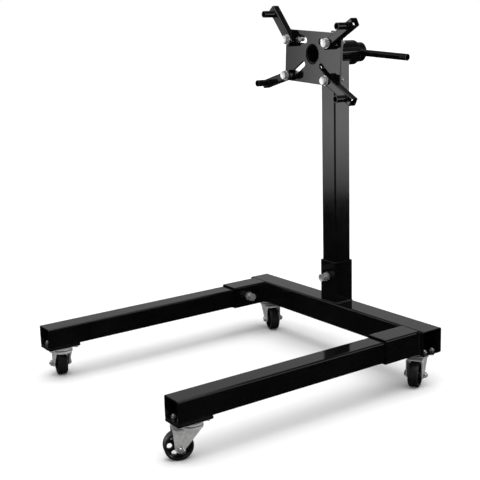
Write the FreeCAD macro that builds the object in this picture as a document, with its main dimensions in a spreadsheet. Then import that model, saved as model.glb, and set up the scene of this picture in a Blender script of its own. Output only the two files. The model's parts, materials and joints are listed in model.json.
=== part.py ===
"""Rolling engine stand: a T-shaped tubular base on four swivel casters, an upright post and a turning head.

Frame: millimetres, +Z up. X runs along the crossbeam, the two legs reach towards -Y, the post stands at
x = 0 on the crossbeam, and the origin lies on the floor, halfway between the legs' front tips and the
spindle's rear end.
"""

import FreeCAD, Part
import math
import os

import Sketcher
from FreeCAD import Placement, Rotation, Vector

DIMENSIONS = {
    # Crossbeam, leg sockets and legs
    "beam_length": (664, "crossbeam, end to end"),
    "beam_size": (60, "outer side of the crossbeam's square tube"),
    "beam_wall": (3, "wall of the crossbeam"),
    "beam_y": (300, "distance from the origin to the crossbeam's middle"),
    "beam_bottom": (80, "height of the crossbeam's underside"),
    "tube_corner": (4, "outer corner radius of the large square tubes"),
    "socket_size": (58, "outer side of the leg and post sockets"),
    "socket_wall": (3, "wall of the sockets"),
    "socket_length": (105, "length of a leg socket in front of the crossbeam"),
    "leg_x": (291.5, "distance of a leg's middle from the middle plane"),
    "leg_size": (50, "outer side of the legs' and post's square tube"),
    "leg_wall": (3, "wall of the legs and the post"),
    "leg_length": (642, "length of a leg"),
    "leg_bottom": (85.5, "height of a leg's underside"),
    "leg_rear_y": (260, "rear end of a leg inside its socket"),
    "pad_length": (82, "pad under a leg's front end"),
    # Post
    "post_socket_height": (107, "height of the post socket above the crossbeam"),
    "post_bottom": (150, "height of the post's lower end"),
    "post_top": (748, "height of the post's upper end beside the sleeve"),
    # Turning head
    "axis_height": (764, "height of the head's turning axis"),
    "head_turn": (3.64, "turn of the head about its axis as it stands, in degrees"),
    "sleeve_radius": (30, "outer radius of the sleeve"),
    "sleeve_bore": (24.08, "bore radius of the sleeve"),
    "sleeve_front": (242, "front end of the sleeve"),
    "sleeve_length": (114, "length of the sleeve"),
    "spindle_radius": (24, "outer radius of the spindle tube"),
    "spindle_wall": (4, "wall of the spindle tube"),
    "spindle_inset": (3, "depth of the spindle's front end behind the plate's face"),
    "spindle_length": (152, "length of the spindle tube"),
    "plate_front": (227, "front face of the mounting plate"),
    "plate_width": (204, "mounting plate, across"),
    "plate_height": (124, "mounting plate, up"),
    "plate_drop": (8, "plate's middle below the turning axis"),
    "plate_thick": (6, "thickness of the mounting plate"),
    "plate_corner": (3, "corner radius of the mounting plate"),
    "slot_radius": (6.75, "half the width of a slot"),
    "handle_radius": (8, "radius of the handle bar"),
    "handle_wall": (1.5, "wall of the handle bar"),
    "handle_length": (210, "length of the handle bar"),
    "handle_reach": (178, "reach of the handle bar from the axis"),
    "handle_back": (140, "handle bar behind the plate's front face"),
    # Arms
    "arm_size": (20, "outer side of an arm's square tube"),
    "arm_wall": (2, "wall of an arm"),
    "arm_corner": (2.5, "outer corner radius of an arm"),
    "inner_corner": (0.5, "what a tube's inner corner radius has over the outer one less the wall"),
    "arm_root": (14, "arm beyond its bolt, towards the plate's middle"),
    "arm_reach": (98, "arm's outer end from its bolt"),
    "finger_reach": (80, "finger from the arm's bolt"),
    "finger_radius": (8, "outer radius of a finger"),
    "finger_bore": (6.5, "bore radius of a finger"),
    "finger_length": (31, "length of a finger in front of its arm"),
    # Large fasteners
    "bolt_radius": (6, "shank radius of the large bolts"),
    "bolt_head": (10.6, "corner radius of the large bolts' heads"),
    "bolt_head_thick": (7.5, "height of the large bolts' heads"),
    "nut_thick": (10, "height of the large nuts"),
    "welded_nut": (11.2, "corner radius of the welded nuts"),
    "washer_radius": (12, "outer radius of the large washers"),
    "washer_thick": (2.5, "thickness of the large washers"),
    "bolt_length": (55, "arm bolt under its head"),
    "lock_play": (0.2, "gap between a locking bolt's tip and the tube that it locks"),
    "lock_gap": (6, "gap between a locking bolt's head and its nut"),
    "leg_lock_y": (208, "locking bolts of the legs"),
    "post_lock_height": (207, "height of the post's locking bolt"),
    "sleeve_lock_y": (299, "locking bolt of the sleeve"),
    # Casters
    "caster_rear_x": (288, "rear casters' swivel axes from the middle plane"),
    "caster_front": (44, "front casters' swivel axes behind the legs' tips"),
    "caster_height": (80, "whole height of a caster"),
    "trail": (27, "wheel's axle behind the swivel axis"),
    "wheel_radius": (30, "wheel, outer radius"),
    "wheel_width": (24, "wheel, across the tread"),
    "wheel_shoulder": (3, "rounding of the tread's edges"),
    "hub_radius": (9.5, "radius of the wheel's hub"),
    "hub_width": (30, "wheel's hub, across"),
    "wheel_web": (5, "thickness of the wheel's web between its two dishes"),
    "dish_radius": (25, "outer radius of those dishes"),
    "wheel_hole": (5.75, "radius of the holes through a wheel's web"),
    "wheel_hole_ring": (18.1, "radius of the ring of those holes"),
    "axle_radius": (4, "radius of a wheel's axle"),
    "yoke_width": (40, "yoke, outside"),
    "yoke_sheet": (2.5, "thickness of the yoke's sheet"),
    "yoke_top": (68, "height of the yoke's upper face"),
    "yoke_back": (19, "yoke behind the swivel axis, away from the axle"),
    "yoke_front": (40, "yoke in front of the swivel axis, on the axle's side"),
    "yoke_eye": (10, "radius of the yoke's rounded lower ends"),
    "yoke_fold": (4, "outer radius of the yoke's folds"),
    "race_radius": (25, "outer radius of the swivel races"),
    "race_lift": (71, "height of the yoke's race"),
    "race_drop": (73.5, "height of the underside of the top plate's race"),
    "ball_ring": (19, "radius of the ring of balls"),
    "ball_radius": (2.4, "radius of a ball"),
    "kingpin_radius": (5, "radius of the kingpin"),
    "kingpin_head": (8, "radius of the kingpin's head"),
    "kingpin_head_thick": (3, "height of the kingpin's head"),
    "kingpin_recess": (0.5, "depth of the kingpin's upper end below the top plate's face"),
    "top_plate_length": (76, "caster's top plate, along the tube"),
    "top_plate_width": (44, "caster's top plate, across the tube"),
    "top_plate_thick": (2.5, "thickness of the caster's top plate"),
    "hole_length": (64, "bolt holes of the top plate, along the tube"),
    "hole_width": (24, "bolt holes of the top plate, across the tube"),
    "axle_head": (7.4, "corner radius of the axles' heads and nuts"),
    "axle_head_thick": (5, "height of the axles' heads"),
    "axle_nut_thick": (6.5, "height of the axles' nuts"),
    "small_bolt": (3, "shank radius of the top plates' bolts"),
    "small_head": (5.77, "corner radius of the top plates' bolt heads and nuts"),
    "small_head_thick": (4, "height of the top plates' bolt heads"),
    "small_nut_thick": (5, "height of the top plates' nuts"),
    "small_bolt_spare": (3, "axles and small bolts beyond their nuts"),
    "hole_play": (0.25, "radial play of a bolt in its hole"),
    "thread_play": (0.05, "radial play of a large bolt in its nut"),
    "running_play": (0.06, "radial play of the kingpins and the axles in what turns on them"),
    "handle_play": (0.1, "radial play of the handle bar in its cross hole"),
    "groove_play": (0.1, "play of a bearing ball in its groove"),
}

BALLS = 16
WHEEL_HOLES = 6

# How far a cutting tool runs past each face that it cuts, as an expression in millimetres
PAST = "1"

# Height of the bearing balls' middles, between the two races
BALL_HEIGHT = "(Dims.race_lift + Dims.race_drop) / 2"

# Tests on edges: how far off a place may be in millimetres, and the least cosine of a matching direction
NEAR = 0.01
PARALLEL = 0.99

# Arms in the plate's plane, from the turning axis: (name, bolt across, bolt up, arm's direction in degrees)
ARMS = [
    ("upper_left", -73.0, 30.8, 133.6),
    ("upper_right", 73.3, 30.8, 32.0),
    ("lower_left", -74.0, -55.4, 198.5),
    ("lower_right", 73.4, -55.0, -25.0),
]

# Slots in the plate's plane, from the turning axis: (across, up) of the inner and outer ends' centres
UPPER_SLOT = ((28.3, 30.8), (84.0, 30.8))
LOWER_SLOT = ((33.0, -26.0), (77.5, -58.0))

# Casters: (name, side, at the front, direction of the wheel from the swivel axis in degrees)
CASTERS = [
    ("front_left", -1, True, 166.0),
    ("front_right", 1, True, -112.0),
    ("rear_left", -1, False, -20.0),
    ("rear_right", 1, False, -59.0),
]

AXIS_ROTATION = {
    "+X": Rotation(Vector(0, 0, 1), Vector(1, 0, 0)),
    "-X": Rotation(Vector(0, 0, 1), Vector(-1, 0, 0)),
    "+Y": Rotation(Vector(0, 0, 1), Vector(0, 1, 0)),
    "-Y": Rotation(Vector(0, 0, 1), Vector(0, -1, 0)),
    "+Z": Rotation(),
    "-Z": Rotation(Vector(1, 0, 0), 180),
}

os.makedirs("parts", exist_ok=True)
doc = FreeCAD.newDocument("engine_stand")
sheet = doc.addObject("Spreadsheet::Sheet", "Dims")
nodes = []


# --- the sheet of dimensions -------------------------------------------------------------------------------


def fill_sheet():
    """Write each driving dimension into the sheet as a plain number with an alias."""
    for row, (alias, (value, note)) in enumerate(DIMENSIONS.items(), start=1):
        sheet.set(f"A{row}", alias)
        sheet.set(f"B{row}", str(value))
        sheet.setAlias(f"B{row}", alias)
        sheet.set(f"C{row}", note)
    doc.recompute()


def dim(alias):
    """The sheet's value of one dimension."""
    return float(sheet.get(alias))


def bind(thing, **expressions):
    """Tie properties of an object to expressions over the sheet; a double underscore stands for a dot."""
    for name, expression in expressions.items():
        thing.setExpression(name.replace("__", "."), expression)


def move(thing, across="0", along="0", up="0"):
    """Tie an object's place to expressions over the sheet, keeping its rotation."""
    bind(thing, Placement__Base__x=across, Placement__Base__y=along, Placement__Base__z=up)


def node(thing, label):
    """Give a finished sub-part the name of its node."""
    thing.Label = label
    nodes.append(thing)
    return thing


# --- primitives and booleans -------------------------------------------------------------------------------


def box(length, width, height, across="0", along="0", up="0"):
    """A block from its lowest corner."""
    thing = doc.addObject("Part::Box", "Block")
    bind(thing, Length=length, Width=width, Height=height)
    move(thing, across, along, up)
    return thing


def cylinder(radius, height, axis="+Z", across="0", along="0", up="0"):
    """A cylinder that starts at the point given and runs along the axis."""
    thing = doc.addObject("Part::Cylinder", "Cylinder")
    thing.Placement = Placement(Vector(), AXIS_ROTATION[axis])
    bind(thing, Radius=radius, Height=height)
    move(thing, across, along, up)
    return thing


def hexagon(corner_radius, height, axis="+Z", across="0", along="0", up="0"):
    """A hexagonal prism that starts at the point given and runs along the axis."""
    thing = doc.addObject("Part::Prism", "Hexagon")
    thing.Polygon = 6
    thing.Placement = Placement(Vector(), AXIS_ROTATION[axis])
    bind(thing, Circumradius=corner_radius, Height=height)
    move(thing, across, along, up)
    return thing


def fuse(*pieces):
    """The union of several pieces."""
    thing = doc.addObject("Part::MultiFuse", "Union")
    thing.Shapes = list(pieces)
    return thing


def cut(base, *tools):
    """A piece with others taken out of it."""
    thing = doc.addObject("Part::Cut", "Cut")
    thing.Base = base
    thing.Tool = tools[0] if len(tools) == 1 else fuse(*tools)
    return thing


def group(*pieces):
    """Separate solids that share one node."""
    thing = doc.addObject("Part::Compound", "Group")
    thing.Links = list(pieces)
    return thing


def ring(outer, inner, height, axis="+Z", across="0", along="0", up="0"):
    """A plain round tube or washer."""
    return cut(
        cylinder(outer, height, axis, across, along, up),
        cylinder(inner, height, axis, across, along, up),
    )


def nut(corner_radius, bore, height, axis="+Z", across="0", along="0", up="0"):
    """A hexagonal nut."""
    return cut(
        hexagon(corner_radius, height, axis, across, along, up),
        cylinder(bore, height, axis, across, along, up),
    )


# --- sketched bodies ---------------------------------------------------------------------------------------


def new_sketch(body, role, lift="0 mm"):
    """A sketch on one of the body's own origin planes, raised along its normal."""
    sketch = body.newObject("Sketcher::SketchObject", "Sketch")
    plane = next(item for item in body.Origin.OriginFeatures if item.Role == role)
    sketch.AttachmentSupport = [(plane, "")]
    sketch.MapMode = "FlatFace"
    bind(sketch, AttachmentOffset__Base__z=lift)
    return sketch


def constrain(sketch, constraint, name, expression):
    """Add a dimension to a sketch and tie it to the sheet."""
    index = sketch.addConstraint(constraint)
    sketch.renameConstraint(index, name)
    bind(sketch, **{"Constraints__" + name: expression})


def value(expression):
    """The present number of an expression over the sheet."""
    result = sheet.evalExpression(expression)
    return float(getattr(result, "Value", result))


def add_rectangle(sketch, width, height, name):
    """A rectangle centred on the sketch's origin."""
    half_width = value(width) / 2
    half_height = value(height) / 2
    corners = [
        Vector(-half_width, -half_height, 0),
        Vector(half_width, -half_height, 0),
        Vector(half_width, half_height, 0),
        Vector(-half_width, half_height, 0),
    ]
    first = sketch.GeometryCount
    for index, corner in enumerate(corners):
        sketch.addGeometry(Part.LineSegment(corner, corners[(index + 1) % 4]))
    for index in range(4):
        following = first + (index + 1) % 4
        sketch.addConstraint(Sketcher.Constraint("Coincident", first + index, 2, following, 1))
    for index in (0, 2):
        sketch.addConstraint(Sketcher.Constraint("Horizontal", first + index))
        sketch.addConstraint(Sketcher.Constraint("Vertical", first + index + 1))
    sketch.addConstraint(Sketcher.Constraint("Symmetric", first, 1, first + 2, 1, -1, 1))
    across = Sketcher.Constraint("DistanceX", first, 1, first, 2, 2 * half_width)
    upward = Sketcher.Constraint("DistanceY", first + 1, 1, first + 1, 2, 2 * half_height)
    constrain(sketch, across, name + "Width", width)
    constrain(sketch, upward, name + "Height", height)


def add_circle(sketch, radius, name, across="0"):
    """A circle on the sketch's horizontal axis."""
    size = value(radius)
    offset = value(across)
    index = sketch.addGeometry(Part.Circle(Vector(offset, 0, 0), Vector(0, 0, 1), size))
    if offset == 0:
        sketch.addConstraint(Sketcher.Constraint("Coincident", index, 3, -1, 1))
    else:
        sketch.addConstraint(Sketcher.Constraint("PointOnObject", index, 3, -1))
        away = Sketcher.Constraint("DistanceX", -1, 1, index, 3, offset)
        constrain(sketch, away, name + "Offset", across)
    constrain(sketch, Sketcher.Constraint("Radius", index, size), name + "Radius", radius)


def pad(body, sketch, length, middle=False):
    """Extrude a sketch along its normal, or to both sides of its plane."""
    feature = body.newObject("PartDesign::Pad", "Pad")
    feature.Profile = sketch
    feature.SideType = "Symmetric" if middle else "One side"
    bind(feature, Length=length)
    sketch.Visibility = False
    doc.recompute()
    return feature


def pocket(body, sketch, depth, forward=False, middle=False):
    """Cut a sketch into the body against its normal, with forward along it, or with middle to both sides."""
    before = body.Shape.Volume
    feature = body.newObject("PartDesign::Pocket", "Pocket")
    feature.Profile = sketch
    feature.SideType = "Symmetric" if middle else "One side"
    feature.Reversed = forward
    bind(feature, Length=depth)
    doc.recompute()
    if body.Shape.Volume >= before:
        raise RuntimeError("a pocket of " + body.Label + " cuts nothing")
    return feature


def fillet(body, edges, radius):
    """Round edges of the body's last feature."""
    last = body.Tip
    feature = body.newObject("PartDesign::Fillet", "Fillet")
    feature.Base = (last, edges)
    bind(feature, Radius=radius)
    doc.recompute()
    return feature


def edges_where(body, test):
    """Names of the edges of the body's shape that pass a test."""
    return [f"Edge{i}" for i, edge in enumerate(body.Shape.Edges, start=1) if test(edge)]


def long_edges_at(body, half_side):
    """Names of the edges along local Z that stand at the four corners of a square."""

    def at_corner(edge):
        middle = edge.CenterOfMass
        lengthwise = abs(edge.tangentAt(edge.FirstParameter).z) > PARALLEL
        off_corner = max(abs(abs(middle.x) - half_side), abs(abs(middle.y) - half_side))
        return lengthwise and off_corner < NEAR

    return edges_where(body, at_corner)


def square_tube(size, wall, length, corner):
    """A body: square tube with rounded corners, centred on local Z and starting at its origin."""
    body = doc.addObject("PartDesign::Body", "Tube")
    inner = f"{size} - 2 * {wall}"
    sketch = new_sketch(body, "XY_Plane")
    add_rectangle(sketch, size, size, "Outer")
    add_rectangle(sketch, inner, inner, "Inner")
    pad(body, sketch, length)
    half_inner = value(inner) / 2
    half_outer = value(size) / 2
    fillet(body, long_edges_at(body, half_inner), f"{corner} - {wall} + Dims.inner_corner")
    fillet(body, long_edges_at(body, half_outer), corner)
    return body


def turned(body, axis, across="0", along="0", up="0"):
    """Lay a body that runs along local Z along another axis of the frame."""
    body.Placement = Placement(Vector(), AXIS_ROTATION[axis])
    move(body, across, along, up)
    return body


# --- base --------------------------------------------------------------------------------------------------


def bolt_spots(tube_axis, across="0", along="0"):
    """Places of a caster's four bolts about its swivel axis; the longer spacing is along the tube."""
    spans = ("Dims.hole_length", "Dims.hole_width")
    span_x, span_y = spans if tube_axis == "X" else spans[::-1]
    return [
        (f"{across} + {side_x} * {span_x} / 2", f"{along} + {side_y} * {span_y} / 2")
        for side_x in (-1, 1)
        for side_y in (-1, 1)
    ]


def small_holes(tube_axis, across, along, bottom, thickness):
    """Four cylinders that drill a caster's bolt holes through a wall that starts at the height given."""
    radius = "Dims.small_bolt + Dims.hole_play"
    depth = f"{thickness} + 2 * {PAST}"
    return [
        cylinder(radius, depth, "+Z", spot_x, spot_y, f"{bottom} - {PAST}")
        for spot_x, spot_y in bolt_spots(tube_axis, across, along)
    ]


def build_crossbeam():
    """Square tube across the back, with bolt holes for the two rear casters in its lower wall."""
    tube = square_tube("Dims.beam_size", "Dims.beam_wall", "Dims.beam_length", "Dims.tube_corner")
    middle = "Dims.beam_bottom + Dims.beam_size / 2"
    turned(tube, "+X", "-Dims.beam_length / 2", "Dims.beam_y", middle)
    holes = []
    for side in (-1, 1):
        across = f"{side} * Dims.caster_rear_x"
        holes += small_holes("X", across, "Dims.beam_y", "Dims.beam_bottom", "Dims.beam_wall")
    node(cut(tube, *holes), "crossbeam")


def build_leg_side(name, side):
    """One leg with its socket, the pad under its tip and the holes that its fasteners need."""
    across = f"{side} * Dims.leg_x"
    socket_up = "Dims.beam_bottom + Dims.beam_size - Dims.socket_size / 2"
    socket = square_tube("Dims.socket_size", "Dims.socket_wall", "Dims.socket_length", "Dims.tube_corner")
    turned(socket, "-Y", across, "Dims.beam_y - Dims.beam_size / 2", socket_up)
    lock_hole = cylinder(
        "Dims.bolt_radius + Dims.hole_play",
        "Dims.socket_size / 2",
        "-X" if side > 0 else "+X",
        across,
        "Dims.leg_lock_y",
        socket_up,
    )
    node(cut(socket, lock_hole), "leg_socket_" + name)

    leg = square_tube("Dims.leg_size", "Dims.leg_wall", "Dims.leg_length", "Dims.tube_corner")
    turned(leg, "-Y", across, "Dims.leg_rear_y", "Dims.leg_bottom + Dims.leg_size / 2")
    tip = "Dims.leg_rear_y - Dims.leg_length"
    swivel = f"{tip} + Dims.caster_front"
    holes = small_holes("Y", across, swivel, "Dims.leg_bottom", "Dims.leg_wall")
    node(cut(leg, *holes), "leg_" + name)

    pad_thick = "Dims.leg_bottom - Dims.caster_height"
    plate = box(
        "Dims.leg_size",
        "Dims.pad_length",
        pad_thick,
        f"{across} - Dims.leg_size / 2",
        tip,
        "Dims.caster_height",
    )
    holes = small_holes("Y", across, swivel, "Dims.caster_height", pad_thick)
    node(cut(plate, *holes), "leg_pad_" + name)


def build_post():
    """Post socket on the crossbeam, the post in it, and the sleeve across the post's top."""
    beam_top = "Dims.beam_bottom + Dims.beam_size"
    socket = square_tube(
        "Dims.socket_size", "Dims.socket_wall", "Dims.post_socket_height", "Dims.tube_corner"
    )
    turned(socket, "+Z", "0", "Dims.beam_y", beam_top)
    lock_hole = cylinder(
        "Dims.bolt_radius + Dims.hole_play",
        "Dims.socket_size / 2",
        "-Y",
        "0",
        "Dims.beam_y",
        "Dims.post_lock_height",
    )
    node(cut(socket, lock_hole), "post_socket")

    height = "Dims.post_top - Dims.post_bottom"
    post = square_tube("Dims.leg_size", "Dims.leg_wall", height, "Dims.tube_corner")
    turned(post, "+Z", "0", "Dims.beam_y", "Dims.post_bottom")
    saddle = cylinder(
        "Dims.sleeve_radius",
        "Dims.leg_size * 2",
        "+Y",
        "0",
        "Dims.beam_y - Dims.leg_size",
        "Dims.axis_height",
    )
    node(cut(post, saddle), "post")

    sleeve = ring(
        "Dims.sleeve_radius",
        "Dims.sleeve_bore",
        "Dims.sleeve_length",
        "+Y",
        "0",
        "Dims.sleeve_front",
        "Dims.axis_height",
    )
    lock_hole = cylinder(
        "Dims.bolt_radius + Dims.hole_play",
        f"Dims.sleeve_radius + {PAST}",
        "+Z",
        "0",
        "Dims.sleeve_lock_y",
        "Dims.axis_height",
    )
    node(cut(sleeve, lock_hole), "sleeve")


def lock_pair(axis, across, along, up, reach):
    """A welded nut and the locking bolt through it, outwards along the axis from the wall at the point given.

    The bolt's tip reaches that far inwards from the wall's outer face, less the play.
    """
    sign = -1 if axis[0] == "-" else 1
    places = {"X": 0, "Y": 1, "Z": 2}

    def shifted(distance):
        spot = [across, along, up]
        index = places[axis[1]]
        spot[index] = f"{spot[index]} + {sign} * ({distance})"
        return spot

    welded = nut(
        "Dims.welded_nut",
        "Dims.bolt_radius + Dims.thread_play",
        "Dims.nut_thick",
        axis,
        *shifted("0"),
    )
    head_at = "Dims.nut_thick + Dims.lock_gap"
    tip = f"Dims.lock_play - ({reach})"
    shank = cylinder("Dims.bolt_radius", f"{head_at} + {PAST} - ({tip})", axis, *shifted(tip))
    head = hexagon("Dims.bolt_head", "Dims.bolt_head_thick", axis, *shifted(head_at))
    return welded, fuse(shank, head)


def build_locks():
    """The four locking bolts and their welded nuts."""
    socket_up = "Dims.beam_bottom + Dims.beam_size - Dims.socket_size / 2"
    to_tube = "(Dims.socket_size - Dims.leg_size) / 2"
    nuts = []
    for name, side in (("left", -1), ("right", 1)):
        wall = f"{side} * (Dims.leg_x - Dims.socket_size / 2)"
        axis = "-X" if side > 0 else "+X"
        welded, bolt = lock_pair(axis, wall, "Dims.leg_lock_y", socket_up, to_tube)
        nuts.append(welded)
        node(bolt, "leg_lock_bolt_" + name)
    front = "Dims.beam_y - Dims.socket_size / 2"
    welded, bolt = lock_pair("-Y", "0", front, "Dims.post_lock_height", to_tube)
    nuts.append(welded)
    node(bolt, "post_lock_bolt")
    node(group(*nuts), "socket_lock_nuts")
    top = "Dims.axis_height + Dims.sleeve_radius"
    to_spindle = "Dims.sleeve_radius - Dims.spindle_radius"
    welded, bolt = lock_pair("+Z", "0", "Dims.sleeve_lock_y", top, to_spindle)
    node(welded, "sleeve_lock_nut")
    node(bolt, "sleeve_lock_bolt")


# --- turning head ------------------------------------------------------------------------------------------


def on_head(thing):
    """Carry a piece drawn about the head's own axes to the turning axis, turned as the head stands."""
    at_axis = Placement(
        Vector(0, dim("plate_front"), dim("axis_height")),
        Rotation(Vector(0, 1, 0), dim("head_turn")),
    )
    thing.Placement = at_axis.multiply(thing.Placement)
    return thing


def slot_tool(side, ends):
    """The solid that cuts one slot: two round ends and the straight run between them."""
    (inner_u, inner_v), (outer_u, outer_v) = ends
    run = math.hypot(outer_u - inner_u, outer_v - inner_v)
    angle = math.degrees(math.atan2(outer_v - inner_v, side * (outer_u - inner_u)))
    deep = f"Dims.plate_thick + 2 * {PAST}"
    start = f"-{PAST}"
    straight = box(f"{run}", deep, "2 * Dims.slot_radius", "0", start, "-Dims.slot_radius")
    near = cylinder("Dims.slot_radius", deep, "+Y", "0", start, "0")
    far = cylinder("Dims.slot_radius", deep, "+Y", f"{run}", start, "0")
    tool = fuse(straight, near, far)
    tool.Placement = Placement(Vector(side * inner_u, 0, inner_v), Rotation(Vector(0, 1, 0), -angle))
    return tool


def build_mounting_plate():
    """Plate with four slots and a hole that takes the spindle's end."""
    body = doc.addObject("PartDesign::Body", "Plate")
    sketch = new_sketch(body, "XZ_Plane")
    add_rectangle(sketch, "Dims.plate_width", "Dims.plate_height", "Plate")
    pad(body, sketch, "Dims.plate_thick")
    corners = edges_where(body, lambda edge: abs(edge.tangentAt(edge.FirstParameter).y) > PARALLEL)
    fillet(body, corners, "Dims.plate_corner")
    body.Placement = Placement(Vector(), Rotation(Vector(0, 0, 1), 180))
    move(body, "0", "0", "-Dims.plate_drop")
    tools = [slot_tool(side, ends) for side in (-1, 1) for ends in (UPPER_SLOT, LOWER_SLOT)]
    through = f"Dims.plate_thick + 2 * {PAST}"
    tools.append(cylinder("Dims.spindle_radius", through, "+Y", "0", f"-{PAST}", "0"))
    node(on_head(cut(body, *tools)), "mounting_plate")


def build_spindle():
    """Spindle tube with the cross hole for the handle bar, and the bar."""
    tube = ring(
        "Dims.spindle_radius",
        "Dims.spindle_radius - Dims.spindle_wall",
        "Dims.spindle_length",
        "+Y",
        "0",
        "Dims.spindle_inset",
        "0",
    )
    cross_hole = cylinder(
        "Dims.handle_radius + Dims.handle_play",
        f"2 * Dims.spindle_radius + 2 * {PAST}",
        "+X",
        f"-Dims.spindle_radius - {PAST}",
        "Dims.handle_back",
        "0",
    )
    node(on_head(cut(tube, cross_hole)), "spindle_tube")
    bar = ring(
        "Dims.handle_radius",
        "Dims.handle_radius - Dims.handle_wall",
        "Dims.handle_length",
        "+X",
        "Dims.handle_reach - Dims.handle_length",
        "Dims.handle_back",
        "0",
    )
    node(on_head(bar), "handle_bar")


def build_arm(name, bolt_u, bolt_v, angle):
    """One adjustable arm: square tube, finger on its outer end, and the bolt that clamps it in its slot."""
    spin = Placement(Vector(bolt_u, 0, bolt_v), Rotation(Vector(0, 1, 0), -angle))

    def at_bolt(thing):
        thing.Placement = spin.multiply(thing.Placement)
        return on_head(thing)

    length = "Dims.arm_root + Dims.arm_reach"
    tube = square_tube("Dims.arm_size", "Dims.arm_wall", length, "Dims.arm_corner")
    turned(tube, "+X", "-Dims.arm_root", "-Dims.arm_size / 2", "0")
    deep = f"Dims.arm_size + 2 * {PAST}"
    front = f"-Dims.arm_size - {PAST}"
    bolt_hole = cylinder("Dims.bolt_radius + Dims.hole_play", deep, "+Y", "0", front, "0")
    finger_hole = cylinder("Dims.finger_bore", deep, "+Y", "Dims.finger_reach", front, "0")
    node(at_bolt(cut(tube, bolt_hole, finger_hole)), "arm_" + name)

    finger = ring(
        "Dims.finger_radius",
        "Dims.finger_bore",
        "Dims.finger_length",
        "-Y",
        "Dims.finger_reach",
        "-Dims.arm_size",
        "0",
    )
    node(at_bolt(finger), "finger_" + name)

    face = "-Dims.arm_size - Dims.washer_thick"
    behind = "Dims.plate_thick"
    bolt = fuse(
        cylinder("Dims.bolt_radius", "Dims.bolt_length", "+Y", "0", face, "0"),
        hexagon("Dims.bolt_head", "Dims.bolt_head_thick", "-Y", "0", face, "0"),
    )
    play = "Dims.bolt_radius + Dims.hole_play"
    washers = [
        ring("Dims.washer_radius", play, "Dims.washer_thick", "+Y", "0", place, "0")
        for place in (face, behind)
    ]
    back_nut = nut(
        "Dims.bolt_head",
        "Dims.bolt_radius + Dims.thread_play",
        "Dims.nut_thick",
        "+Y",
        "0",
        f"{behind} + Dims.washer_thick",
        "0",
    )
    node(at_bolt(group(bolt, *washers, back_nut)), "arm_bolt_" + name)


# --- casters -----------------------------------------------------------------------------------------------


def build_yoke():
    """Yoke: a folded sheet with two tapering cheeks, and the lower swivel race on top of it."""
    body = doc.addObject("PartDesign::Body", "Yoke")
    profile = new_sketch(body, "XZ_Plane")
    top = dim("yoke_top")
    back, front = -dim("yoke_back"), dim("yoke_front")
    eye = Vector(dim("trail"), dim("wheel_radius"), 0)
    radius = dim("yoke_eye")

    def tangent_point(corner, turn):
        reach = corner.sub(eye)
        distance = reach.Length
        swing = turn * math.acos(radius / distance)
        direction = math.atan2(reach.y, reach.x) + swing
        return eye.add(Vector(radius * math.cos(direction), radius * math.sin(direction), 0))

    corners = (Vector(back, top, 0), Vector(front, top, 0))
    touch = (tangent_point(corners[0], 1), tangent_point(corners[1], -1))
    lowest = eye.add(Vector(0, -radius, 0))
    profile.addGeometry(Part.LineSegment(corners[1], corners[0]))
    profile.addGeometry(Part.LineSegment(corners[0], touch[0]))
    profile.addGeometry(Part.Arc(touch[0], lowest, touch[1]))
    profile.addGeometry(Part.LineSegment(touch[1], corners[1]))
    profile.addConstraint(Sketcher.Constraint("Coincident", 0, 2, 1, 1))
    profile.addConstraint(Sketcher.Constraint("Coincident", 3, 2, 0, 1))
    profile.addConstraint(Sketcher.Constraint("Horizontal", 0))
    profile.addConstraint(Sketcher.Constraint("Tangent", 1, 2, 2, 1))
    profile.addConstraint(Sketcher.Constraint("Tangent", 2, 2, 3, 1))
    constrain(profile, Sketcher.Constraint("Radius", 2, radius), "Eye", "Dims.yoke_eye")
    constrain(profile, Sketcher.Constraint("DistanceX", -1, 1, 2, 3, eye.x), "Trail", "Dims.trail")
    constrain(profile, Sketcher.Constraint("DistanceY", -1, 1, 2, 3, eye.y), "Axle", "Dims.wheel_radius")
    constrain(profile, Sketcher.Constraint("DistanceY", -1, 1, 0, 1, top), "Top", "Dims.yoke_top")
    constrain(profile, Sketcher.Constraint("DistanceX", -1, 1, 0, 1, front), "Front", "Dims.yoke_front")
    constrain(profile, Sketcher.Constraint("DistanceX", 0, 2, -1, 1, -back), "Back", "Dims.yoke_back")
    pad(body, profile, "Dims.yoke_width", middle=True)

    half = dim("yoke_width") / 2

    def is_fold(edge):
        middle = edge.CenterOfMass
        return abs(middle.z - top) < NEAR and abs(abs(middle.y) - half) < NEAR

    fillet(body, edges_where(body, is_fold), "Dims.yoke_fold")
    inside = new_sketch(body, "YZ_Plane")
    add_rectangle(
        inside,
        "Dims.yoke_width - 2 * Dims.yoke_sheet",
        "2 * (Dims.yoke_top - Dims.yoke_sheet)",
        "Inside",
    )
    pocket(body, inside, "4 * Dims.yoke_front", middle=True)
    race = new_sketch(body, "XY_Plane", "Dims.yoke_top - Dims.yoke_sheet")
    add_circle(race, "Dims.race_radius", "Race")
    pad(body, race, "Dims.race_lift - Dims.yoke_top + Dims.yoke_sheet")
    bore = new_sketch(body, "XY_Plane", "Dims.race_lift")
    add_circle(bore, "Dims.kingpin_radius + Dims.running_play", "Bore")
    pocket(body, bore, "Dims.race_lift - Dims.yoke_top + 2 * Dims.yoke_sheet")
    eyes = new_sketch(body, "XZ_Plane")
    index = eyes.addGeometry(Part.Circle(eye, Vector(0, 0, 1), dim("axle_radius")))
    constrain(eyes, Sketcher.Constraint("Radius", index, dim("axle_radius")), "Hole", "Dims.axle_radius")
    constrain(eyes, Sketcher.Constraint("DistanceX", -1, 1, index, 3, eye.x), "Trail", "Dims.trail")
    constrain(eyes, Sketcher.Constraint("DistanceY", -1, 1, index, 3, eye.y), "Axle", "Dims.wheel_radius")
    pocket(body, eyes, "2 * Dims.yoke_width", middle=True)
    return body


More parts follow.
